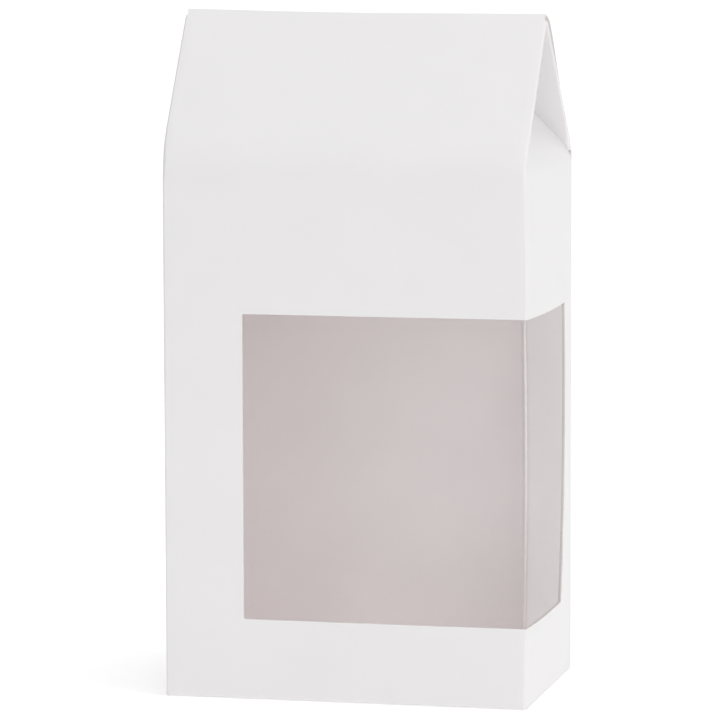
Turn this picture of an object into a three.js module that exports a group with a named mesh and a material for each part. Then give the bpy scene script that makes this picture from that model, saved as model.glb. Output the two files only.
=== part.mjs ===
// Gable-top folding carton with a clear window that wraps round its front right corner.
// Units are millimetres. +Z is up, the front faces -Y, and the origin is the middle of the base.
import * as THREE from "three";

// Board, film and the clearance left between neighbouring panels
const BOARD = 0.5;
const FILM = 0.15;
const GAP = 0.3;

// Sleeve
const WIDTH = 120;
const DEPTH = 80;
const EAVE_HEIGHT = 177;
const SLEEVE_BASE = BOARD + GAP;
const SLEEVE_TOP = EAVE_HEIGHT - 0.15;
const HALF_WIDTH = WIDTH / 2;
const HALF_DEPTH = DEPTH / 2;
const INNER_HALF_WIDTH = HALF_WIDTH - BOARD - GAP;
const INNER_HALF_DEPTH = HALF_DEPTH - BOARD - GAP;

// Gable: the ridge runs along X, a little forward of the middle
const RIDGE_HEIGHT = 224;
const RIDGE_Y = -6;
const GABLE_RISE = RIDGE_HEIGHT - EAVE_HEIGHT;
const EAVE_CLEARANCE = 0.55;
const RIDGE_CLEARANCE = 0.2;
const FLAP_START = 0.95;
const FLAP_LENGTH = 38.5;
const FLAP_INSET = 0.4;
const FLAP_CORNER = 3;
const FLAP_GAP = 0.8;
const BACK_ROOF_SHORTFALL = 7;
const WING_EAVE_START = 1.6;
const WING_RIDGE_INSET = 2;
const WING_END_INSET = 0.35;
const GUSSET_LEAN = 35 * (Math.PI / 180);

// Window
const WINDOW_LEFT = -33.5;
const WINDOW_REAR = 17;
const WINDOW_BOTTOM = 26.5;
const WINDOW_TOP = 127;
const WINDOW_CORNER = 1.2;
const FILM_MARGIN = 8;

// Glue seam at the back left corner, and the closed base
const SEAM_WIDTH = 14;
const SEAM_END_INSET = 3;
const SEAM_TAPER = 4;
const INNER_FLAP_FRONT = -16;
const DUST_FLAP_LENGTH = 36;
const DUST_FLAP_SIDE_CLEARANCE = 0.9;
const DUST_FLAP_TAPER = 4;

const WHITE = 0xe9e8e8;
const INNER_GREY = 0xdcd8d8;
const CLEAR = 0xe8ecec;

// The front roof slopes from its eave to the ridge. The back roof lies one board and a gap
// under the closing flap, so its slope is set by the tangent to a circle round the ridge.
const frontRun = RIDGE_Y + HALF_DEPTH;
const frontLength = Math.hypot(frontRun, GABLE_RISE);
const frontLean = Math.atan2(frontRun, GABLE_RISE);
const backRun = HALF_DEPTH - RIDGE_Y;
const backReach = Math.hypot(backRun, GABLE_RISE);
const backDrop = BOARD + FLAP_GAP;
const backLean = Math.atan2(backRun, GABLE_RISE) + Math.asin(backDrop / backReach);
const backLength = Math.sqrt(backReach ** 2 - backDrop ** 2) - BACK_ROOF_SHORTFALL;

// A frame for one panel: u and v span its outer face, and thickness grows along inward.
function panelFrame(origin, u, v) {
  const across = new THREE.Vector3(...u).normalize();
  const up = new THREE.Vector3(...v).normalize();
  const outward = new THREE.Vector3().crossVectors(across, up);
  return new THREE.Matrix4()
    .makeBasis(across, up, outward)
    .setPosition(new THREE.Vector3(...origin));
}

// Extrudes an outline drawn on the panel's outer face, from depth below that face.
function panel(name, outline, frame, look = {}) {
  const { depth = 0, thickness = BOARD, color = WHITE, roughness = 0.55 } = look;
  const geometry = new THREE.ExtrudeGeometry(outline, {
    depth: thickness,
    bevelEnabled: false,
    curveSegments: 8,
  });
  geometry.translate(0, 0, -depth - thickness);
  geometry.applyMatrix4(frame);
  const material = new THREE.MeshStandardMaterial({ color, roughness, metalness: 0 });
  const mesh = new THREE.Mesh(geometry, material);
  mesh.name = name;
  return mesh;
}

function polygon(points) {
  return new THREE.Shape(points.map(([x, y]) => new THREE.Vector2(x, y)));
}

function rectangle(left, bottom, right, top) {
  return polygon([[left, bottom], [right, bottom], [right, top], [left, top]]);
}

// A wall with a window cut open at its right edge and rounded where it ends on the left.
function notchedWall(left, right, notchLeft) {
  const shape = new THREE.Shape();
  shape.moveTo(left, SLEEVE_BASE);
  shape.lineTo(right, SLEEVE_BASE);
  shape.lineTo(right, WINDOW_BOTTOM);
  shape.lineTo(notchLeft + WINDOW_CORNER, WINDOW_BOTTOM);
  shape.quadraticCurveTo(notchLeft, WINDOW_BOTTOM, notchLeft, WINDOW_BOTTOM + WINDOW_CORNER);
  shape.lineTo(notchLeft, WINDOW_TOP - WINDOW_CORNER);
  shape.quadraticCurveTo(notchLeft, WINDOW_TOP, notchLeft + WINDOW_CORNER, WINDOW_TOP);
  shape.lineTo(right, WINDOW_TOP);
  shape.lineTo(right, SLEEVE_TOP);
  shape.lineTo(left, SLEEVE_TOP);
  shape.closePath();
  return shape;
}

// The same wall turned round, so its window is open at the left edge.
function notchedWallOpenLeft(left, right, notchRight) {
  const points = notchedWall(-right, -left, -notchRight).getPoints(8);
  return new THREE.Shape(points.map((p) => new THREE.Vector2(-p.x, p.y)).reverse());
}

const frontWallFrame = () => panelFrame([0, -HALF_DEPTH, 0], [1, 0, 0], [0, 0, 1]);
const backWallFrame = () => panelFrame([0, HALF_DEPTH, 0], [-1, 0, 0], [0, 0, 1]);
const rightWallFrame = () => panelFrame([HALF_WIDTH, 0, 0], [0, 1, 0], [0, 0, 1]);
const leftWallFrame = () => panelFrame([-HALF_WIDTH, 0, 0], [0, -1, 0], [0, 0, 1]);
const baseFrame = (z) => panelFrame([0, 0, z], [1, 0, 0], [0, -1, 0]);

function frontRoofFrame() {
  return panelFrame(
    [0, -HALF_DEPTH, EAVE_HEIGHT],
    [1, 0, 0],
    [0, Math.sin(frontLean), Math.cos(frontLean)],
  );
}

function backRoofFrame() {
  return panelFrame(
    [0, HALF_DEPTH, EAVE_HEIGHT],
    [-1, 0, 0],
    [0, -Math.sin(backLean), Math.cos(backLean)],
  );
}

function sleeveWalls() {
  return [
    panel("front_panel", notchedWall(-HALF_WIDTH, HALF_WIDTH, WINDOW_LEFT), frontWallFrame()),
    panel(
      "right_side_panel",
      notchedWallOpenLeft(-INNER_HALF_DEPTH, INNER_HALF_DEPTH, WINDOW_REAR),
      rightWallFrame(),
    ),
    panel(
      "back_panel",
      rectangle(-HALF_WIDTH, SLEEVE_BASE, HALF_WIDTH, SLEEVE_TOP),
      backWallFrame(),
    ),
    panel(
      "left_side_panel",
      rectangle(-INNER_HALF_DEPTH, SLEEVE_BASE, INNER_HALF_DEPTH, SLEEVE_TOP),
      leftWallFrame(),
    ),
  ];
}

// Tab on the side edge of the back wall, glued to the inside of the left wall
function glueSeam() {
  const low = SLEEVE_BASE + SEAM_END_INSET;
  const high = SLEEVE_TOP - SEAM_END_INSET;
  const root = -INNER_HALF_DEPTH;
  const tip = root + SEAM_WIDTH;
  const outline = polygon([
    [root, low],
    [tip, low + SEAM_TAPER],
    [tip, high - SEAM_TAPER],
    [root, high],
  ]);
  return panel("glue_seam_flap", outline, leftWallFrame(), {
    depth: BOARD + GAP,
    color: INNER_GREY,
  });
}

// One sheet of clear film, folded at the front right corner and glued inside the window
function windowFilm() {
  const outer = INNER_HALF_WIDTH;
  const inner = outer - FILM;
  const front = -INNER_HALF_DEPTH;
  const left = WINDOW_LEFT - FILM_MARGIN;
  const rear = WINDOW_REAR + FILM_MARGIN;
  const outline = polygon([
    [left, front],
    [outer, front],
    [outer, rear],
    [inner, rear],
    [inner, front + FILM],
    [left, front + FILM],
  ]);
  const height = WINDOW_TOP - WINDOW_BOTTOM + 2 * FILM_MARGIN;
  const frame = new THREE.Matrix4().setPosition(0, 0, WINDOW_TOP + FILM_MARGIN);
  const mesh = panel("window_film", outline, frame, {
    thickness: height,
    color: CLEAR,
    roughness: 0.05,
  });
  mesh.material.transparent = true;
  mesh.material.opacity = 0.3;
  return mesh;
}

function roofs() {
  const front = rectangle(
    -HALF_WIDTH, EAVE_CLEARANCE, HALF_WIDTH, frontLength - RIDGE_CLEARANCE,
  );
  const back = rectangle(-HALF_WIDTH, EAVE_CLEARANCE + 0.2, HALF_WIDTH, backLength);
  return [
    panel("front_roof_panel", front, frontRoofFrame()),
    panel("back_roof_panel", back, backRoofFrame()),
  ];
}

// Panel hinged on the ridge, lying outside the back roof, with cut corners at its free end
function closingFlap() {
  const half = HALF_WIDTH - FLAP_INSET;
  const frame = panelFrame(
    [0, RIDGE_Y, RIDGE_HEIGHT],
    [1, 0, 0],
    [0, -Math.sin(backLean), Math.cos(backLean)],
  );
  const outline = polygon([
    [-half, -FLAP_START],
    [-half, -FLAP_LENGTH + FLAP_CORNER],
    [-half + FLAP_CORNER, -FLAP_LENGTH],
    [half - FLAP_CORNER, -FLAP_LENGTH],
    [half, -FLAP_LENGTH + FLAP_CORNER],
    [half, -FLAP_START],
  ]);
  const flipped = frame.multiply(new THREE.Matrix4().makeRotationY(Math.PI));
  return panel("closing_flap", outline, flipped);
}

// Right triangles folded flat under the roofs, from each gable end to the hip of its gusset
function gussetWings() {
  const roofSides = [
    { roof: "front", frame: frontRoofFrame, lean: frontLean, length: frontLength },
    { roof: "back", frame: backRoofFrame, lean: backLean, length: backLength + 1 },
  ];
  const wings = [];
  for (const { roof, frame, lean, length } of roofSides) {
    for (const end of ["left", "right"]) {
      const towardsRight = end === "right" ? 1 : -1;
      const side = roof === "front" ? towardsRight : -towardsRight;
      const top = length - WING_RIDGE_INSET;
      const hip = (up) => HALF_WIDTH - up * Math.cos(lean) * Math.tan(GUSSET_LEAN);
      const edge = HALF_WIDTH - WING_END_INSET;
      const outline = polygon([
        [side * (hip(WING_EAVE_START) - 0.6), WING_EAVE_START],
        [side * edge, WING_EAVE_START],
        [side * edge, top],
        [side * hip(top), top],
      ]);
      wings.push(
        panel(`${roof}_${end}_wing`, outline, frame(), { depth: BOARD + GAP }),
      );
    }
  }
  return wings;
}

// Triangular ends tucked in between the roofs, hinged on the top edges of the side walls
function gussets() {
  const layers = 2 * (BOARD + GAP);
  const perHeight = Math.cos(GUSSET_LEAN);
  const frontEdge = (up) =>
    -HALF_DEPTH + up * perHeight * Math.tan(frontLean) + layers / Math.cos(frontLean);
  const backEdge = (up) =>
    HALF_DEPTH - up * perHeight * Math.tan(backLean) - layers / Math.cos(backLean);
  const closing = perHeight * (Math.tan(frontLean) + Math.tan(backLean));
  const apex = (backEdge(0) - frontEdge(0)) / closing;
  const top = apex - 1;
  const outline = (mirror) =>
    polygon([
      [mirror * frontEdge(EAVE_CLEARANCE), EAVE_CLEARANCE],
      [mirror * backEdge(EAVE_CLEARANCE), EAVE_CLEARANCE],
      [mirror * backEdge(top), top],
      [mirror * frontEdge(top), top],
    ]);
  const lean = Math.sin(GUSSET_LEAN);
  return [
    panel(
      "right_gusset",
      outline(1),
      panelFrame([HALF_WIDTH, 0, EAVE_HEIGHT], [0, 1, 0], [-lean, 0, perHeight]),
    ),
    panel(
      "left_gusset",
      outline(-1),
      panelFrame([-HALF_WIDTH, 0, EAVE_HEIGHT], [0, -1, 0], [lean, 0, perHeight]),
    ),
  ];
}

// The closed base: an outer flap from the front, an inner flap from the back, and two dust flaps
function baseFlaps() {
  const layer = BOARD + GAP;
  const outer = rectangle(-HALF_WIDTH, -HALF_DEPTH, HALF_WIDTH, HALF_DEPTH);
  const inner = rectangle(
    -INNER_HALF_WIDTH, -INNER_HALF_DEPTH, INNER_HALF_WIDTH, -INNER_FLAP_FRONT,
  );
  const flaps = [
    panel("base_outer_flap", outer, baseFrame(0)),
    panel("base_inner_flap", inner, baseFrame(layer)),
  ];
  const sideHalf = INNER_HALF_DEPTH - DUST_FLAP_SIDE_CLEARANCE;
  for (const end of ["left", "right"]) {
    const side = end === "right" ? 1 : -1;
    const root = side * INNER_HALF_WIDTH;
    const tip = side * (INNER_HALF_WIDTH - DUST_FLAP_LENGTH);
    const outline = polygon([
      [root, -sideHalf],
      [tip, -sideHalf + DUST_FLAP_TAPER],
      [tip, sideHalf - DUST_FLAP_TAPER],
      [root, sideHalf],
    ]);
    flaps.push(
      panel(`base_${end}_dust_flap`, outline, baseFrame(2 * layer), { color: INNER_GREY }),
    );
  }
  return flaps;
}

const carton = new THREE.Group();
carton.name = "gable_top_window_carton";
carton.add(
  ...sleeveWalls(),
  glueSeam(),
  windowFilm(),
  ...roofs(),
  closingFlap(),
  ...gussetWings(),
  ...gussets(),
  ...baseFlaps(),
);

export default carton;
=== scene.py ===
import math

import bmesh
import bpy
import numpy as np
from mathutils import Matrix, Vector


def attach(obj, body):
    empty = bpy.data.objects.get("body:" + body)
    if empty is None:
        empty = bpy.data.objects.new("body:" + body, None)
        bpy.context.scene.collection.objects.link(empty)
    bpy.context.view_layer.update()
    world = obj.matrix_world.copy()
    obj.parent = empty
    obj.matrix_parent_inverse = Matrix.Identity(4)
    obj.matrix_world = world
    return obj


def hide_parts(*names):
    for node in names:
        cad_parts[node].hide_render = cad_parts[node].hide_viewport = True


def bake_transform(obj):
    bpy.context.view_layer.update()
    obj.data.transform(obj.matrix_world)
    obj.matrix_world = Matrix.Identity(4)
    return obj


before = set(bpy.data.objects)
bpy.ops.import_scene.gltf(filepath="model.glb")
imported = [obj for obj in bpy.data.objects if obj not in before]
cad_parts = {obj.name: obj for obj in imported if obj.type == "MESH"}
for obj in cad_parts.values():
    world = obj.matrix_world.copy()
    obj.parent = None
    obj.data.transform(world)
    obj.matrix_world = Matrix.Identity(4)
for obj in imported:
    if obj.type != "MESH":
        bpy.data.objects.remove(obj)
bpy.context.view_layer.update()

# -------------------------------- sizes, in millimetres unless the comment says otherwise
MM = 0.001                # metres in a millimetre
BOARD = 0.5               # thickness of the paperboard
HALF_W = 60.0
HALF_D = 40.0
EAVE = 177.0
RIDGE = np.array([-6.0, 224.0])  # its Y and Z

CORNER_R = 0.9            # outside radius of a folded upright corner
FOLD_R = 0.65             # outside radius where a roof end is folded flat on itself
FRONT_EAVE_R = 25.0       # the front bends softly into its roof instead of at a crisp crease
BACK_EAVE_R = 4.0
SIDE_EAVE_R = 14.0
RIDGE_R = 0.8
SEAM_Z = 168.0            # walls end here and the boards that bend at the eaves take over
RIDGE_SEAM = 1.0          # distance from the ridge where the front roof meets the closing flap

# The closing flap, and how the roofs, wings and gussets fit under it
FLAP_GAP = 0.8            # clear space between the back roof and the flap, before it springs
FLAP_LENGTH = 38.5
FLAP_HALF = 59.6
FLAP_CORNER = 3.0         # radius of its two free corners
FLAP_TAIL = (2.3, 1.6, 1.0, 0.5, 0.15)  # distances from its free edge of the rows that round them
BACK_SHORTFALL = 2.4      # the back roof stops this far short of the ridge
# Wings stop this far short of the ridge in front, and of the roof's top edge behind
WING_TOP_INSET = {"front": 2.0, "back": 0.6}
WING_PAST_HIP = 0.35      # a wing reaches this far past the line where it meets its gusset,
WING_LEAST = 0.03         # and at least this far past its own fold
WING_START = -0.5         # it comes in from here along the roof, counted from the eave crease,
WING_BAND = 3.0           # over this length
WING_STUB = 0.02          # and below that this much is left of it
FOLD_START = -0.5         # a roof end folds flat from here along the roof,
FOLD_BAND = 4.0           # over this length
GUSSET_LEAN = math.radians(35.0)
GUSSET_EAVE = 175.4       # the end creases sit a little lower than the eaves
GUSSET_RISE = 48.0        # length of the line that a gusset follows
GUSSET_TIP = 0.6          # a gusset stops where it gets narrower than this

# The small ways in which the carton in the photograph stands off its true lines
RIDGE_LIFT = 1.0          # the left end of the ridge stands up by this much
RIDGE_LIFT_POWER = 1.3    # and the lift dies away along the ridge as this power of the distance
LEAN_LEFT = 0.3           # the left wall stands out by this much, and the gable above it
LEAN_GABLE = 0.5          # by this much more,
LEAN_GABLE_BAND = 20.0    # which comes in over this height above the seam
LEAN_RIGHT = 0.35         # the right wall stands out by this much, and the ridge above it
OPEN_RIGHT = 0.35         # by this much more
LEAN_WINDOW = 0.5         # the front right corner stands out by this much beside the window
LEAN_WINDOW_LOW = 35.0    # in full from this height
LEAN_WINDOW_HIGH = 140.0  # up to this one,
LEAN_WINDOW_BAND = 28.0   # and not at all from this much higher
WINDOW_SLANT = (-1.4, 1.4)  # the window's rear edge stands off its true line, bottom and top
SLANT_REACH = 12.0        # and draws the wall with it this far on each side
FLAP_BULGE = 2.4          # the closing flap springs away from the back roof,
FLAP_BULGE_RISE = 7.0     # in full at this distance from the ridge,
FLAP_BULGE_FALL = 8.0     # and less and less from this distance to its free edge
CORNER_SWELL = 0.45       # the upright corners open out a little where they meet the eaves
SWELL_START = -9.0        # from here along the roof, counted from the eave crease,
SWELL_BAND = 8.0          # over this length,
SWELL_END_START = 2.0     # and close again from here
SWELL_END_BAND = 14.0     # over this length
# How far the middle of each wall bows outwards, and the power that fills the bow out in height
BOW = {"front": 0.25, "right": 2.6, "back": 0.6, "left": 0.8}
BOW_POWER = 0.8

WINDOW_LEFT = -33.5
WINDOW_REAR = 17.0
WINDOW_LOW = 26.5
WINDOW_HIGH = 127.0
WINDOW_FILLET = 0.5
FILLET_PULL = 0.3         # the share of it by which a window corner moves in
FILM = 0.12               # thickness of the film
FILM_MARGIN = 8.0         # it reaches this far past the window's edges
FILM_CLEAR = 0.04         # between it and the board in front of it
FILM_CORNER_R = 1.6
FILM_CREASE = 0.45        # a painted highlight, as whiter haze, lies on the film this near to its fold
FILM_SHADE = 1.3          # and painted shade, as a dark line of haze, from there to here on the front side
FILM_FADE = (0.04, 0.09)  # in metres, the heights between which these two fade
FILM_SLACK = 0.3          # the free film lies this far inwards at the middle of each side
FILM_PUSH = 0.5           # the fold stands out this much at mid height
FILM_PUSH_REACH = 20.0    # and draws the film with it this far on each side
FILM_ROUGHNESS = 0.08
FILM_IOR = 1.85

SEAM_WIDTH = 14.0
SEAM_LOW, SEAM_HIGH = 3.8, 167.5
SEAM_TAPER = 4.0          # its free corners are cut off by this much, both ways
SEAM_CORNER_GAP = 0.1     # between it and the place where the corner starts to turn
SEAM_GLUE = 0.06          # between the seam flap and the left wall

WALL_BOTTOM = 0.25        # the walls stop this far above the floor,
BASE_FOLD_TOP = 1.6       # and the front wall at this height, where the base flap takes over
BASE_HALF = HALF_W - CORNER_R
BASE_REAR_GAP = 0.7       # between the base flap's free edge and the back wall's outer face

# Distances between the points of the sheets
WALL_STEP = 3.5
ROOF_STEP = 2.0
END_STEP = 1.6
BASE_STEP = 4.0
SEAM_STEP = 6.0
FILM_STEP = 2.5
ROOF_ACROSS = 0.04        # as a share of half the roof's width
FLAP_ACROSS = 0.06        # as a share of half the flap's width
LINE_CLEAR = 0.6          # no other grid line comes nearer than this to a window edge
# Numbers of points
CORNER_POINTS = 6         # round half an upright corner
FOLD_POINTS = 9           # round a fold at a roof's end
WING_POINTS = 8           # across a wing
GUSSET_POINTS = 33        # across a gusset
SEAM_POINTS = 7           # across the seam flap
BEND_POINTS = 8           # round a bend in a path, at least
BEND_ANGLE = math.radians(5)  # and about this far apart at most

front_lean = math.atan2(RIDGE[0] + HALF_D, RIDGE[1] - EAVE)
front_length = math.hypot(RIDGE[0] + HALF_D, RIDGE[1] - EAVE)
front_slope = np.array([math.sin(front_lean), math.cos(front_lean)])
back_reach = math.hypot(HALF_D - RIDGE[0], RIDGE[1] - EAVE)
back_drop = BOARD + FLAP_GAP
back_lean = math.atan2(HALF_D - RIDGE[0], RIDGE[1] - EAVE) + math.asin(back_drop / back_reach)
back_length = math.sqrt(back_reach**2 - back_drop**2) - BACK_SHORTFALL
back_slope = np.array([-math.sin(back_lean), math.cos(back_lean)])


def smooth(t):
    """0 below 0, 1 above 1, and an even S curve between them."""
    t = np.clip(t, 0.0, 1.0)
    return t * t * (3 - 2 * t)


def spaced(a, b, step):
    """Points from a to b, both included, about step apart."""
    return np.linspace(a, b, max(2, int(math.ceil(abs(b - a) / step)) + 1))


def with_lines(values, *lines):
    """Sorted values with exact extra lines in place of any that lie close to them."""
    kept = [v for v in values if all(abs(v - line) > LINE_CLEAR for line in lines)]
    return np.array(sorted(set(kept) | set(lines)))


def points_at(x, y, z):
    """Points from their coordinates, each of them an array or one number for all."""
    return np.stack(np.broadcast_arrays(x, y, z), -1)


# ---------------------------------------------------------------- materials
def new_material(name):
    """An empty node material, with its tree and output node."""
    material = bpy.data.materials.new(name)
    material.use_nodes = True
    tree = material.node_tree
    tree.nodes.clear()
    output = tree.nodes.new("ShaderNodeOutputMaterial")
    return material, tree, output


def noise(tree, coords, scale, detail, stretch=(1, 1, 1)):
    """Noise in object space. A larger stretch makes it finer along that axis."""
    mapping = tree.nodes.new("ShaderNodeMapping")
    mapping.inputs["Scale"].default_value = stretch
    tree.links.new(coords, mapping.inputs["Vector"])
    node = tree.nodes.new("ShaderNodeTexNoise")
    node.inputs["Scale"].default_value = scale
    node.inputs["Detail"].default_value = detail
    tree.links.new(mapping.outputs["Vector"], node.inputs["Vector"])
    return node.outputs["Fac"]


def ramp(tree, value, low, high, colour_low, colour_high):
    """Blends from one colour, at low, to another, at high."""
    node = tree.nodes.new("ShaderNodeValToRGB")
    node.color_ramp.elements[0].position = low
    node.color_ramp.elements[1].position = high
    node.color_ramp.elements[0].color = (*colour_low, 1)
    node.color_ramp.elements[1].color = (*colour_high, 1)
    tree.links.new(value, node.inputs["Fac"])
    return node.outputs["Color"]


def ranged(tree, value, low, high, from_low=0.0, from_high=1.0, style="LINEAR"):
    """Maps a value between from_low and from_high to one between low and high."""
    node = tree.nodes.new("ShaderNodeMapRange")
    node.interpolation_type = style
    node.inputs["From Min"].default_value = from_low
    node.inputs["From Max"].default_value = from_high
    node.inputs["To Min"].default_value = low
    node.inputs["To Max"].default_value = high
    tree.links.new(value, node.inputs["Value"])
    return node.outputs["Result"]


def multiplied(tree, a, b, amount):
    """Colour a multiplied by colour b, to the given amount."""
    node = tree.nodes.new("ShaderNodeMix")
    node.data_type = "RGBA"
    node.blend_type = "MULTIPLY"
    node.inputs["Factor"].default_value = amount
    tree.links.new(a, node.inputs["A"])
    tree.links.new(b, node.inputs["B"])
    return node.outputs["Result"]


def computed(tree, operation, a, b, clamp=False):
    """One arithmetic operation on two values, kept between 0 and 1 where clamp is set."""
    node = tree.nodes.new("ShaderNodeMath")
    node.operation = operation
    node.use_clamp = clamp
    tree.links.new(a, node.inputs[0])
    tree.links.new(b, node.inputs[1])
    return node.outputs[0]


def mixed_shader(tree, share, a, b):
    """Shader a with the given share of shader b."""
    node = tree.nodes.new("ShaderNodeMixShader")
    for value, socket in zip((share, a, b), node.inputs):
        tree.links.new(value, socket)
    return node.outputs[0]


def bumped(tree, heights):
    """Chains bump nodes: heights is a list of (value, strength, distance in metres)."""
    normal = None
    for value, strength, distance in heights:
        node = tree.nodes.new("ShaderNodeBump")
        node.inputs["Strength"].default_value = strength
        node.inputs["Distance"].default_value = distance
        tree.links.new(value, node.inputs["Height"])
        if normal is not None:
            tree.links.new(normal, node.inputs["Normal"])
        normal = node.outputs["Normal"]
    return normal


def board_material(name, light, dark, rough, fibre_amount, fibre, waviness):
    """Paperboard: faint clouding and fine fibres in colour, roughness and relief."""
    material, tree, output = new_material(name)
    coords = tree.nodes.new("ShaderNodeTexCoord").outputs["Object"]
    clouds = noise(tree, coords, scale=45, detail=4)
    fibres = noise(tree, coords, scale=900, detail=3, stretch=(1, 1, 3.2))
    grain = noise(tree, coords, scale=3200, detail=2)
    waves = noise(tree, coords, scale=22, detail=1)
    base = ramp(tree, clouds, low=0.3, high=0.7, colour_low=dark, colour_high=light)
    tint = (fibre, fibre, fibre)
    specks = ramp(tree, fibres, low=0.3, high=0.62, colour_low=tint, colour_high=(1, 1, 1))
    shader = tree.nodes.new("ShaderNodeBsdfPrincipled")
    tree.links.new(multiplied(tree, base, specks, fibre_amount), shader.inputs["Base Color"])
    tree.links.new(ranged(tree, fibres, *rough), shader.inputs["Roughness"])
    shader.inputs["IOR"].default_value = 1.45
    heights = [(waves, waviness, 0.0006), (fibres, 0.10, 0.00004), (grain, 0.08, 0.00002)]
    tree.links.new(bumped(tree, heights), shader.inputs["Normal"])
    tree.links.new(shader.outputs["BSDF"], output.inputs["Surface"])
    return material


def film_material(name, haze, tone=(0.9, 0.9, 0.91), left_below=1.0):
    """Thin clear film: mostly see-through, with a soft Fresnel gloss and a trace of haze, from
    the first amount to the second. left_below is the share of it left low in the window."""
    material, tree, output = new_material(name)
    coords = tree.nodes.new("ShaderNodeTexCoord").outputs["Object"]
    ripple = noise(tree, coords, scale=30, detail=2, stretch=(1, 1, 0.5))
    spots = noise(tree, coords, scale=260, detail=3)
    normal = bumped(tree, [(ripple, 0.12, 0.0015)])
    clear = tree.nodes.new("ShaderNodeBsdfTransparent")
    clear.inputs["Color"].default_value = (1, 1, 1, 1)
    gloss = tree.nodes.new("ShaderNodeBsdfGlossy")
    gloss.inputs["Roughness"].default_value = FILM_ROUGHNESS
    tree.links.new(normal, gloss.inputs["Normal"])
    fresnel = tree.nodes.new("ShaderNodeFresnel")
    fresnel.inputs["IOR"].default_value = FILM_IOR
    tree.links.new(normal, fresnel.inputs["Normal"])
    # The far face of the thin film passes everything, so each crossing reflects once
    far_face = tree.nodes.new("ShaderNodeNewGeometry").outputs["Backfacing"]
    reflected = computed(tree, "SUBTRACT", fresnel.outputs[0], far_face, clamp=True)
    clouded = tree.nodes.new("ShaderNodeBsdfDiffuse")
    clouded.inputs["Color"].default_value = (*tone, 1)
    place = tree.nodes.new("ShaderNodeSeparateXYZ")
    tree.links.new(coords, place.inputs[0])
    fade = ranged(tree, place.outputs["Z"], left_below, 1.0, *FILM_FADE)
    amount = computed(tree, "MULTIPLY", ranged(tree, spots, *haze), fade)
    body = mixed_shader(tree, amount, clear.outputs[0], clouded.outputs[0])
    film = mixed_shader(tree, reflected, body, gloss.outputs[0])
    tree.links.new(film, output.inputs["Surface"])
    return material


COATED = board_material(
    "coated_board",
    light=(0.822, 0.809, 0.812),
    dark=(0.810, 0.797, 0.800),
    rough=(0.38, 0.48),
    fibre_amount=0.35,
    fibre=0.975,
    waviness=0.05,
)
INSIDE = board_material(
    "board_inside",
    light=(0.915, 0.872, 0.872),
    dark=(0.885, 0.842, 0.842),
    rough=(0.78, 0.92),
    fibre_amount=0.7,
    fibre=0.93,
    waviness=0.16,
)
EDGE = board_material(
    "cut_edge",
    light=(0.86, 0.84, 0.83),
    dark=(0.80, 0.775, 0.765),
    rough=(0.8, 0.95),
    fibre_amount=0.8,
    fibre=0.9,
    waviness=0.0,
)
CLEAR = film_material("clear_film", haze=(0.004, 0.012))
# A painted highlight along the film's fold: whiter haze, fainter low in the window
PAINTED_FOLD_HIGHLIGHT = film_material("painted_highlight_film", haze=(0.16, 0.30), left_below=0.4)
# Painted shade beside the fold's highlight: a dark haze that fades out towards the window's foot
PAINTED_FOLD_SHADE = film_material(
    "painted_shade_film", haze=(0.08, 0.13), tone=(0.3, 0.28, 0.28), left_below=0.0
)
BOARD_LOOKS = (COATED, INSIDE, EDGE)
FILM_LOOKS = (CLEAR, CLEAR, CLEAR, PAINTED_FOLD_HIGHLIGHT, PAINTED_FOLD_SHADE)
# CREASE is the look of the film's painted highlight at its fold, SHADE the painted shade beside
# it
OUTER, INNER, CUT, CREASE, SHADE = range(5)  # places in these lists; boards have the first three


# ---------------------------------------------------------------- sheets
def settled(grid):
    """The small ways the carton in the photograph stands off its true lines: its left end leans
    out and stands up at the ridge, and the folds at the right end of the gable stand open."""
    rise = np.clip((grid[..., 2] - EAVE) / (RIDGE[1] - EAVE), 0, 1)
    left = np.clip(-grid[..., 0] / HALF_W, 0, 1)
    right = np.clip(grid[..., 0] / HALF_W, 0, 1)
    forward = np.clip(-grid[..., 1] / HALF_D, 0, 1)
    gable = smooth((grid[..., 2] - SEAM_Z) / LEAN_GABLE_BAND)
    beside = smooth(grid[..., 2] / LEAN_WINDOW_LOW)
    beside = beside * (1 - smooth((grid[..., 2] - LEAN_WINDOW_HIGH) / LEAN_WINDOW_BAND))
    moved = grid.copy()
    moved[..., 0] -= (LEAN_LEFT + LEAN_GABLE * gable) * left
    moved[..., 0] += (LEAN_RIGHT + OPEN_RIGHT * rise) * right
    moved[..., 0] += LEAN_WINDOW * right * beside * forward
    moved[..., 2] += RIDGE_LIFT * left**RIDGE_LIFT_POWER * rise
    return moved


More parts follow.
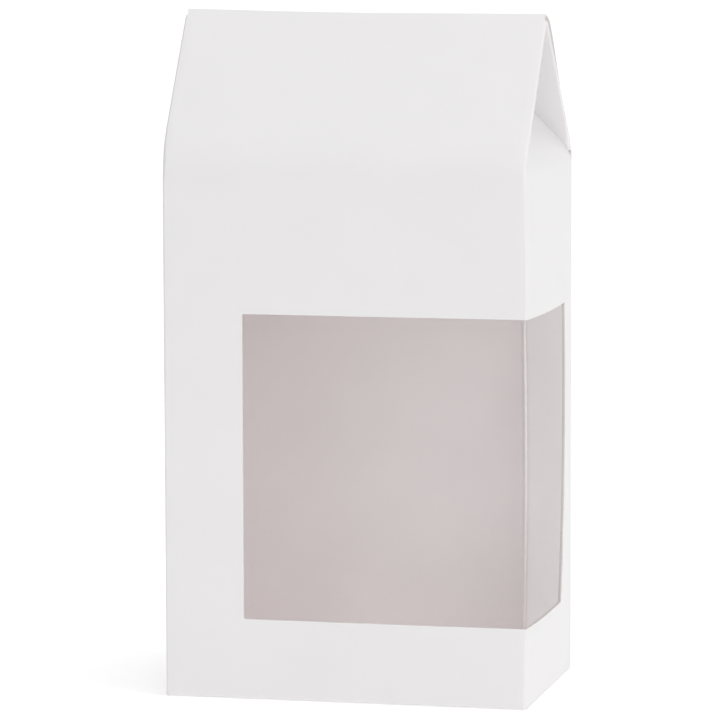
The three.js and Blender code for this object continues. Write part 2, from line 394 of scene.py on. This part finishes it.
def sheet(name, outer, inner, looks, keep=None, marks=None):
    """A closed sheet between two matching grids of points, (rows, columns, 3) in millimetres.
    Cells that keep leaves out are holes. Looks are for the outer face, the inner face and the
    cut edges, then any that marks asks for: one look for both faces of each column of cells."""
    rows, cols = outer.shape[:2]
    if keep is None:
        keep = np.ones((rows - 1, cols - 1), bool)
    index = np.arange(rows * cols).reshape(rows, cols)
    back = rows * cols
    faces, slots = [], []
    for i in range(rows - 1):
        for j in range(cols - 1):
            if not keep[i, j]:
                continue
            quad = [index[i, j], index[i, j + 1], index[i + 1, j + 1], index[i + 1, j]]
            faces += [quad, [back + v for v in reversed(quad)]]
            marked = marks is not None and marks[j]
            slots += [int(marks[j])] * 2 if marked else [OUTER, INNER]
            neighbours = ((i - 1, j), (i, j + 1), (i + 1, j), (i, j - 1))
            for side, (ni, nj) in enumerate(neighbours):
                if 0 <= ni < rows - 1 and 0 <= nj < cols - 1 and keep[ni, nj]:
                    continue
                a, b = quad[side], quad[(side + 1) % 4]
                faces.append([b, a, back + a, back + b])
                slots.append(CUT)
    points = settled(np.vstack([outer.reshape(-1, 3), inner.reshape(-1, 3)])) * MM
    used = sorted({v for f in faces for v in f})
    new_index = {v: k for k, v in enumerate(used)}
    mesh = bpy.data.meshes.new(name)
    mesh.from_pydata(points[used].tolist(), [], [[new_index[v] for v in f] for f in faces])
    for look in looks:
        mesh.materials.append(look)
    mesh.polygons.foreach_set("material_index", slots)
    mesh.polygons.foreach_set("use_smooth", [True] * len(faces))
    edit = bmesh.new()
    edit.from_mesh(mesh)
    bmesh.ops.recalc_face_normals(edit, faces=edit.faces)
    for edge in edit.edges:
        ends = edge.link_faces
        if len(ends) == 2 and (ends[0].material_index == CUT) != (ends[1].material_index == CUT):
            edge.smooth = False
    edit.to_mesh(mesh)
    edit.free()
    obj = bpy.data.objects.new(name, mesh)
    bpy.context.scene.collection.objects.link(obj)
    return obj


def rounded_path(corners, radii, step, side):
    """A path through corners with its bends rounded. Returns points, inward normals and lengths.
    side is 1 where inward lies to the left of the direction of travel, and -1 to the right."""
    corners = [np.array(c, float) for c in corners]
    points, tangents = [], []

    def straight(a, b):
        direction = (b - a) / np.linalg.norm(b - a)
        for t in spaced(0, np.linalg.norm(b - a), step):
            points.append(a + direction * t)
            tangents.append(direction)

    start = corners[0]
    for k, radius in enumerate(radii):
        corner = corners[k + 1]
        before = (corner - corners[k]) / np.linalg.norm(corner - corners[k])
        after = (corners[k + 2] - corner) / np.linalg.norm(corners[k + 2] - corner)
        turn = math.atan2(before[0] * after[1] - before[1] * after[0], before @ after)
        cut_back = radius * math.tan(abs(turn) / 2)
        enter = corner - before * cut_back
        straight(start, enter)
        left = np.array([-before[1], before[0]])
        centre = enter + left * radius * math.copysign(1, turn)
        count = max(BEND_POINTS, int(abs(turn) / BEND_ANGLE)) + 1
        for a in np.linspace(0, turn, count)[1:-1]:
            c, s = math.cos(a), math.sin(a)
            spoke = enter - centre
            points.append(centre + [spoke[0] * c - spoke[1] * s, spoke[0] * s + spoke[1] * c])
            tangents.append([before[0] * c - before[1] * s, before[0] * s + before[1] * c])
        start = corner + after * cut_back
    straight(start, corners[-1])
    points, tangents = np.array(points), np.array(tangents)
    normals = np.stack([-tangents[:, 1], tangents[:, 0]], 1) * side
    lengths = np.concatenate([[0], np.cumsum(np.linalg.norm(np.diff(points, axis=0), axis=1))])
    return points, normals, lengths


def bow(wall, along, z):
    """How far a wall stands out, by the place along it and the height."""
    half = (HALF_W if wall in ("front", "back") else HALF_D) - CORNER_R
    across = np.clip(1 - (along / half) ** 2, 0, None)
    upright = np.sin(np.pi * np.clip(z / EAVE, 0, 1)) ** BOW_POWER
    return BOW[wall] * across * upright


# Half of each wall's width, its distance from the middle, and the way it runs and the way out
WALLS = {
    "front": (HALF_W, HALF_D, (1, 0), (0, -1)),
    "right": (HALF_D, HALF_W, (0, 1), (1, 0)),
    "back": (HALF_W, HALF_D, (-1, 0), (0, 1)),
    "left": (HALF_D, HALF_W, (0, -1), (-1, 0)),
}


def wall_sheet(wall, name, node):
    """One wall of the sleeve with its half of each rounded corner, up to the seam below the
    eaves. The window takes in the front wall's right end and the right wall's front end."""
    half, distance, along_axis, out_axis = WALLS[wall]
    flat = half - CORNER_R
    along = spaced(-flat, flat, WALL_STEP)
    heights = spaced(WALL_BOTTOM, SEAM_Z, WALL_STEP)
    window_end = {"front": WINDOW_LEFT, "right": WINDOW_REAR}.get(wall)
    if window_end is not None:
        fillet = WINDOW_FILLET if wall == "front" else -WINDOW_FILLET
        along = with_lines(along, window_end, window_end + fillet)
        heights = with_lines(
            heights,
            BASE_FOLD_TOP,
            WINDOW_LOW,
            WINDOW_LOW + WINDOW_FILLET,
            WINDOW_HIGH - WINDOW_FILLET,
            WINDOW_HIGH,
        )
    arc = np.radians(np.linspace(0, 45, CORNER_POINTS))[1:]
    lean = np.concatenate([-arc[::-1], np.zeros(len(along)), arc])
    run = CORNER_R * np.sin(arc)
    a = np.concatenate([-flat - run[::-1], along, flat + run])
    grid_a, grid_z = np.meshgrid(a, heights)
    moved_a, moved_z = grid_a.copy(), grid_z.copy()
    mid_a, mid_z = (a[1:] + a[:-1]) / 2, (heights[1:] + heights[:-1]) / 2
    keep = np.ones((len(mid_z), len(mid_a)), bool)
    if window_end is not None:
        in_window = (mid_z > WINDOW_LOW) & (mid_z < WINDOW_HIGH)
        past_end = mid_a > window_end if wall == "front" else mid_a < window_end
        keep &= ~np.outer(in_window, past_end)
        column = int(np.argmin(abs(a - window_end)))
        if wall == "right":
            level = np.clip((grid_z - WINDOW_LOW) / (WINDOW_HIGH - WINDOW_LOW), 0, 1)
            slant = WINDOW_SLANT[0] + (WINDOW_SLANT[1] - WINDOW_SLANT[0]) * level
            moved_a += slant * np.clip(1 - np.abs(grid_a - window_end) / SLANT_REACH, 0, 1)
        for level, up in ((WINDOW_LOW, 1), (WINDOW_HIGH, -1)):
            row = int(np.argmin(abs(heights - level)))
            moved_a[row, column] += FILLET_PULL * fillet
            moved_z[row, column] += FILLET_PULL * WINDOW_FILLET * up
    if wall == "front":
        keep &= ~np.outer(mid_z < BASE_FOLD_TOP, np.abs(mid_a) < flat)
    drop = CORNER_R * (1 - np.cos(lean))
    out = distance - drop + bow(wall, moved_a, moved_z) * (np.abs(grid_a) <= flat)
    layers = []
    for depth in (0.0, BOARD):
        run = moved_a - depth * np.sin(lean)
        stand = out - depth * np.cos(lean)
        x = run * along_axis[0] + stand * out_axis[0]
        y = run * along_axis[1] + stand * out_axis[1]
        layers.append(points_at(x, y, moved_z))
    obj = sheet(name, layers[0], layers[1], BOARD_LOOKS, keep)
    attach(obj, "sleeve")
    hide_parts(node)


def gable_outline(roof):
    """The upright section of a roof board, from the seam on its wall to its top edge: points,
    inward normals, and distances along it from the crease at its eave."""
    if roof == "front":
        eave = np.array([-HALF_D, EAVE])
        top = eave + front_slope * (front_length - RIDGE_SEAM)
        side, radius = -1, FRONT_EAVE_R
    else:
        eave = np.array([HALF_D, EAVE])
        top = eave + back_slope * back_length
        side, radius = 1, BACK_EAVE_R
    corners = [(eave[0], SEAM_Z), eave, top]
    points, normals, lengths = rounded_path(corners, [radius], ROOF_STEP, side)
    crease = lengths[int(np.argmin(np.linalg.norm(points - eave, axis=1)))]
    return points, normals, lengths - crease


def end_fold(s):
    """Turn and outside radius of the fold at a board's end, at the distance s from the eave
    crease: a square corner below the eave, swollen near it, and folded flat on itself above."""
    t = smooth((s - FOLD_START) / FOLD_BAND)
    turn = math.pi / 2 * (1 + t)
    opened = smooth((s - SWELL_START) / SWELL_BAND)
    closed = smooth((s - SWELL_END_START) / SWELL_END_BAND)
    radius = CORNER_R + (FOLD_R - CORNER_R) * t + CORNER_SWELL * (opened - closed)
    return turn, radius


def end_outline():
    """Section of a gable end, from the seam on its side wall up along its gusset."""
    apex = (
        HALF_W - GUSSET_RISE * math.sin(GUSSET_LEAN),
        GUSSET_EAVE + GUSSET_RISE * math.cos(GUSSET_LEAN),
    )
    corners = [(HALF_W, SEAM_Z), (HALF_W, GUSSET_EAVE), apex]
    points, normals, _ = rounded_path(corners, [SIDE_EAVE_R], END_STEP, 1)
    return points, normals


def roof_board(roof, name, nodes):
    """Top of a wall, its roof, and the two wings folded flat beneath, as one bent sheet."""
    points, normals, s = gable_outline(roof)
    hip_line = end_outline()[0]
    wing_top = s[-1] - (WING_TOP_INSET[roof] - (RIDGE_SEAM if roof == "front" else 0))
    top_row = int(np.argmin(abs(s - wing_top)))
    flat = spaced(0, 1, ROOF_ACROSS)
    grids = [[], []]
    for (y, z), normal, length in zip(points, normals, s):
        turn, radius = end_fold(length)
        end = HALF_W - radius
        angle = np.linspace(0, turn, FOLD_POINTS)[1:]
        tip_z = z + normal[1] * 2 * FOLD_R
        hip = float(np.interp(tip_z, hip_line[:, 1], hip_line[:, 0]))
        reach = end + radius * math.sin(turn) - hip + WING_PAST_HIP
        wing = max(WING_LEAST, reach) * smooth((length - WING_START) / WING_BAND) + WING_STUB
        run = np.linspace(0, 1, WING_POINTS)[1:] * wing
        for k, thickness in enumerate((0.0, BOARD)):
            r = radius - thickness
            x_arc = end + r * np.sin(angle)
            d_arc = radius - r * np.cos(angle)
            x_wing = x_arc[-1] + run * math.cos(turn)
            d_wing = d_arc[-1] + run * math.sin(turn)
            x = np.concatenate([flat * end, x_arc, x_wing])
            d = np.concatenate([np.full(len(flat), thickness), d_arc, d_wing])
            x = np.concatenate([-x[:0:-1], x])
            d = np.concatenate([d[:0:-1], d])
            out_y = WALLS[roof][3][1] * bow(roof, x, np.full_like(x, z))
            grids[k].append(points_at(x, y + out_y + normal[0] * d, z + normal[1] * d))
    outer, inner = np.array(grids[0]), np.array(grids[1])
    keep = np.ones((outer.shape[0] - 1, outer.shape[1] - 1), bool)
    folded = FOLD_POINTS + WING_POINTS - 2
    keep[top_row:, :folded] = False
    keep[top_row:, -folded:] = False
    obj = sheet(name, outer, inner, BOARD_LOOKS, keep)
    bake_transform(obj)
    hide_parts(*nodes)


def underside(roof):
    """The line where a gusset meets the wing under a roof: its heights in order, and its Ys."""
    points, normals, s = gable_outline(roof)
    depth = []
    for length in s:
        turn, radius = end_fold(length)
        depth.append(radius * (1 - math.cos(turn)))
    y, z = (points + normals * np.array(depth)[:, None]).T
    order = np.argsort(z)
    return z[order], y[order]


def gusset_board(end, name, node):
    """Top of a side wall and the triangle above it, which leans in between the two roofs."""
    mirror = 1 if end == "right" else -1
    points, normals = end_outline()
    front_z, front_y = underside("front")
    back_z, back_y = underside("back")
    across = (1 - np.cos(np.linspace(0, math.pi, GUSSET_POINTS))) / 2  # closer at both ends
    grids = [[], []]
    for (x, z), normal in zip(points, normals):
        y0, y1 = np.interp(z, front_z, front_y), np.interp(z, back_z, back_y)
        if y1 - y0 < GUSSET_TIP:
            break
        y = y0 + (y1 - y0) * across
        stand = bow(end, y, np.full_like(y, z)) if z < EAVE else 0.0
        for k, thickness in enumerate((0.0, BOARD)):
            px = x + normal[0] * thickness + stand
            grids[k].append(points_at(mirror * px, y, z + normal[1] * thickness))
    obj = sheet(name, np.array(grids[0]), np.array(grids[1]), BOARD_LOOKS)
    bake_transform(obj)
    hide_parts(node)


def closing_flap_board():
    """The fold along the ridge and the flap that lies on the back roof."""
    start, last = RIDGE - front_slope * RIDGE_SEAM, RIDGE - back_slope * FLAP_LENGTH
    points, normals, lengths = rounded_path([start, RIDGE, last], [RIDGE_R], ROOF_STEP, -1)
    kept = lengths < lengths[-1] - FLAP_CORNER
    tail = [last + back_slope * e for e in (FLAP_CORNER, *FLAP_TAIL, 0.0)]
    points = np.vstack([points[kept], tail])
    normals = np.vstack([normals[kept], np.repeat(normals[-1:], len(tail), 0)])
    across = spaced(-1, 1, FLAP_ACROSS)
    grids = [[], []]
    for point, normal in zip(points, normals):
        left = float((last - point) @ -back_slope)
        inset = 0.0
        if left < FLAP_CORNER:
            inset = FLAP_CORNER - math.sqrt(max(0.0, FLAP_CORNER**2 - (FLAP_CORNER - left) ** 2))
        x = across * (FLAP_HALF - inset)
        gone = FLAP_LENGTH - left
        spring = FLAP_BULGE * smooth(gone / FLAP_BULGE_RISE)
        spring *= 1 - smooth((gone - FLAP_BULGE_FALL) / (FLAP_LENGTH - FLAP_BULGE_FALL))
        for k, thickness in enumerate((0.0, BOARD)):
            grids[k].append(points_at(x, *(point + normal * (thickness - spring))))
    obj = sheet("closing_flap_board", np.array(grids[0]), np.array(grids[1]), BOARD_LOOKS)
    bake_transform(obj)
    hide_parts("closing_flap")


def base_flap_board():
    """The outer base flap, folded under from the front wall."""
    corners = [(-HALF_D, BASE_FOLD_TOP), (-HALF_D, 0), (HALF_D - BASE_REAR_GAP, 0)]
    points, normals, _ = rounded_path(corners, [CORNER_R], BASE_STEP, 1)
    x = spaced(-BASE_HALF, BASE_HALF, BASE_STEP)
    outer, inner = [
        np.array([points_at(x, *(p + n * thickness)) for p, n in zip(points, normals)])
        for thickness in (0.0, BOARD)
    ]
    obj = sheet("base_outer_flap_board", outer, inner, BOARD_LOOKS)
    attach(obj, "sleeve")
    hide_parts("base_outer_flap")


def seam_board():
    """The glued tab inside the left wall, at the back corner."""
    between = spaced(SEAM_LOW + SEAM_TAPER, SEAM_HIGH - SEAM_TAPER, SEAM_STEP)
    grids = [[], []]
    for z in (SEAM_LOW, *between, SEAM_HIGH):
        ends = min(z - SEAM_LOW, SEAM_HIGH - z)
        width = SEAM_WIDTH - SEAM_TAPER * (1 - min(1, ends / SEAM_TAPER))
        y = HALF_D - CORNER_R - SEAM_CORNER_GAP - np.linspace(0, width, SEAM_POINTS)
        x = -HALF_W + BOARD + SEAM_GLUE - bow("left", y, np.full_like(y, z))
        for k, thickness in enumerate((0.0, BOARD)):
            grids[k].append(points_at(x + thickness, y, z))
    obj = sheet("glue_seam_board", np.array(grids[0]), np.array(grids[1]), BOARD_LOOKS)
    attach(obj, "sleeve")
    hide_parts("glue_seam_flap")


def film_sheet():
    """Clear film behind the window, bent round the front right corner."""
    inset = BOARD + FILM_CLEAR
    corner = (HALF_W - inset, -HALF_D + inset)
    left, rear = WINDOW_LEFT - FILM_MARGIN, WINDOW_REAR + FILM_MARGIN
    corners = [(left, corner[1]), corner, (corner[0], rear)]
    points, normals, lengths = rounded_path(corners, [FILM_CORNER_R], FILM_STEP, 1)
    fold = lengths[np.argmin(np.linalg.norm(points - corner, axis=1))]
    grids = [[], []]
    for z in spaced(WINDOW_LOW - FILM_MARGIN, WINDOW_HIGH + FILM_MARGIN, FILM_STEP):
        up = (z - WINDOW_LOW) / (WINDOW_HIGH - WINDOW_LOW)
        free_z = math.sin(math.pi * min(1, max(0, up)))
        for k, thickness in enumerate((0.0, FILM)):
            row = []
            for p, n, length in zip(points, normals, lengths):
                if length < corner[0] - left:
                    free = (p[0] - WINDOW_LEFT) / (HALF_W - WINDOW_LEFT)
                    stand = bow("front", p[0], z)
                else:
                    free = (WINDOW_REAR - p[1]) / (WINDOW_REAR + HALF_D)
                    stand = bow("right", p[1], z)
                slack = FILM_SLACK * free_z * math.sin(math.pi * min(1, max(0, free)))
                place = p + n * (thickness + slack - stand)
                push = FILM_PUSH * free_z * smooth(1 - abs(length - fold) / FILM_PUSH_REACH)
                row.append((place[0] + push, place[1], z))
            grids[k].append(row)
    from_fold = (lengths[1:] + lengths[:-1]) / 2 - fold
    # Columns at the fold take the painted highlight, and those just in front of it the painted
    # shade
    marks = np.where(np.abs(from_fold) < FILM_CREASE, CREASE, OUTER)
    marks[(from_fold <= -FILM_CREASE) & (from_fold > -FILM_SHADE)] = SHADE
    outer, inner = np.array(grids[0]), np.array(grids[1])
    obj = sheet("window_film_sheet", outer, inner, FILM_LOOKS, marks=marks)
    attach(obj, "sleeve")
    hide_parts("window_film")


wall_sheet("front", "front_wall", "front_panel")
wall_sheet("right", "right_wall", "right_side_panel")
wall_sheet("back", "back_wall", "back_panel")
wall_sheet("left", "left_wall", "left_side_panel")
roof_board(
    "front",
    "front_roof_board",
    ("front_roof_panel", "front_left_wing", "front_right_wing"),
)
roof_board(
    "back",
    "back_roof_board",
    ("back_roof_panel", "back_left_wing", "back_right_wing"),
)
closing_flap_board()
gusset_board("right", "right_gusset_board", "right_gusset")
gusset_board("left", "left_gusset_board", "left_gusset")
base_flap_board()
seam_board()
film_sheet()

# The three flaps inside the base keep their CAD shape
for node in ("base_inner_flap", "base_left_dust_flap", "base_right_dust_flap"):
    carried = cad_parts[node]
    carried.data.materials.clear()
    carried.data.materials.append(INSIDE)

# ---------------------------------------------------------------- floor, light and camera
FLOOR = -0.0002           # in metres, just under the base so the two faces don't coincide
FLOOR_FRONT, FLOOR_BACK, FLOOR_TOP = -3.0, 2.2, 2.6
FLOOR_HALF = 1.5
FLOOR_SWEEP_R = 1.0
FLOOR_STEP = 0.4
FLOOR_GLOW = 0.21
MIDDLE = (0, 0, 0.11)     # of the carton, which most of the lights face

scene = bpy.context.scene
scene.view_settings.view_transform = "Standard"


def stage_material():
    """Matt white paper with a faint glow of its own, so it photographs as pure white."""
    material, tree, output = new_material("studio_floor")
    coords = tree.nodes.new("ShaderNodeTexCoord").outputs["Object"]
    clouds = noise(tree, coords, scale=3, detail=2)
    greys = {"colour_low": (0.94, 0.94, 0.94), "colour_high": (0.96, 0.96, 0.96)}
    tone = ramp(tree, clouds, low=0.3, high=0.7, **greys)
    shader = tree.nodes.new("ShaderNodeBsdfPrincipled")
    tree.links.new(tone, shader.inputs["Base Color"])
    shader.inputs["Roughness"].default_value = 0.9
    shader.inputs["Emission Color"].default_value = (1, 1, 1, 1)
    shader.inputs["Emission Strength"].default_value = FLOOR_GLOW
    tree.links.new(shader.outputs["BSDF"], output.inputs["Surface"])
    return material


def studio_floor():
    """A wide sweep: flat floor that curves up far behind."""
    corners = [(FLOOR_FRONT, FLOOR), (FLOOR_BACK, FLOOR), (FLOOR_BACK, FLOOR_TOP)]
    points, _, _ = rounded_path(corners, [FLOOR_SWEEP_R], FLOOR_STEP, 1)
    n = len(points)
    verts = [(x, y, z) for x in (-FLOOR_HALF, FLOOR_HALF) for y, z in points]
    faces = [(n + k, n + k + 1, k + 1, k) for k in range(n - 1)]
    mesh = bpy.data.meshes.new("studio_floor")
    mesh.from_pydata(verts, [], faces)
    mesh.polygons.foreach_set("use_smooth", [True] * len(faces))
    mesh.materials.append(stage_material())
    floor = bpy.data.objects.new("studio_floor", mesh)
    scene.collection.objects.link(floor)


def area_light(name, place, size, power, target=MIDDLE):
    """A white softbox: its place, target and size are in metres, and its power in watts."""
    data = bpy.data.lights.new(name, "AREA")
    data.shape = "RECTANGLE"
    data.size, data.size_y = size
    data.energy = power
    light = bpy.data.objects.new(name, data)
    light.location = place
    light.rotation_euler = (Vector(target) - Vector(place)).to_track_quat("-Z", "Y").to_euler()
    scene.collection.objects.link(light)


def studio_world():
    """Even white surroundings, dim low down on the unlit left side."""
    world = bpy.data.worlds.new("studio")
    world.use_nodes = True
    tree = world.node_tree
    background = tree.nodes["Background"]
    background.inputs["Color"].default_value = (1, 1, 1, 1)
    right_and_up = tree.nodes.new("ShaderNodeVectorMath")
    right_and_up.operation = "DOT_PRODUCT"
    right_and_up.inputs[1].default_value = (1, 0, 1)
    direction = tree.nodes.new("ShaderNodeTexCoord").outputs["Generated"]
    tree.links.new(direction, right_and_up.inputs[0])
    strength = ranged(
        tree,
        right_and_up.outputs["Value"],
        low=0.05,
        high=0.45,
        from_low=-0.8,
        from_high=0.0,
        style="SMOOTHSTEP",
    )
    tree.links.new(strength, background.inputs["Strength"])
    scene.world = world


studio_floor()
studio_world()
area_light("front_softbox", (0.3, -1.9, 2.0), size=(1.6, 1.2), power=10)
area_light("left_front_softbox", (-0.7, -2.1, 1.4), size=(1.0, 1.2), power=4)
area_light("right_front_softbox", (1.9, -1.9, 0.7), size=(1.2, 1.2), power=8.4)
area_light("right_softbox", (2.2, -0.6, 1.6), size=(1.2, 1.2), power=11.5)
area_light("overhead_softbox", (0.0, 0.0, 2.4), size=(2.0, 2.0), power=10.5)
area_light("backdrop_light", (0.0, 0.5, 2.2), size=(2.4, 1.0), power=10, target=(0, 2.0, 0.4))
# Light crosses the film and goes back and forth inside the carton many times
scene.cycles.max_bounces = 16
scene.cycles.diffuse_bounces = 12
scene.cycles.transparent_max_bounces = 16

CAMERA_PLACE = Vector((0.3479, -1.4991, 0.2876))
CAMERA_YAW = math.radians(13.20)
CAMERA_PITCH = math.radians(6.65)
CAMERA_ROLL = math.radians(-0.17)
FOCAL_PIXELS = 4663.5
FRAME_PIXELS = 720
SENSOR = 36.0             # in millimetres

right = Vector((math.cos(CAMERA_YAW), math.sin(CAMERA_YAW), 0))
level = Vector((-math.sin(CAMERA_YAW), math.cos(CAMERA_YAW), 0))
up = Vector((0, 0, 1))
forward = level * math.cos(CAMERA_PITCH) - up * math.sin(CAMERA_PITCH)
upward = up * math.cos(CAMERA_PITCH) + level * math.sin(CAMERA_PITCH)
camera_x = right * math.cos(CAMERA_ROLL) + upward * math.sin(CAMERA_ROLL)
camera_y = upward * math.cos(CAMERA_ROLL) - right * math.sin(CAMERA_ROLL)
camera_data = bpy.data.cameras.new("camera")
camera_data.sensor_width = SENSOR
camera_data.lens = FOCAL_PIXELS / FRAME_PIXELS * SENSOR
camera = bpy.data.objects.new("camera", camera_data)
camera.matrix_world = Matrix.Translation(CAMERA_PLACE) @ Matrix(
    (
        (camera_x[0], camera_y[0], -forward[0], 0),
        (camera_x[1], camera_y[1], -forward[1], 0),
        (camera_x[2], camera_y[2], -forward[2], 0),
        (0, 0, 0, 1),
    )
)
scene.collection.objects.link(camera)
scene.camera = camera
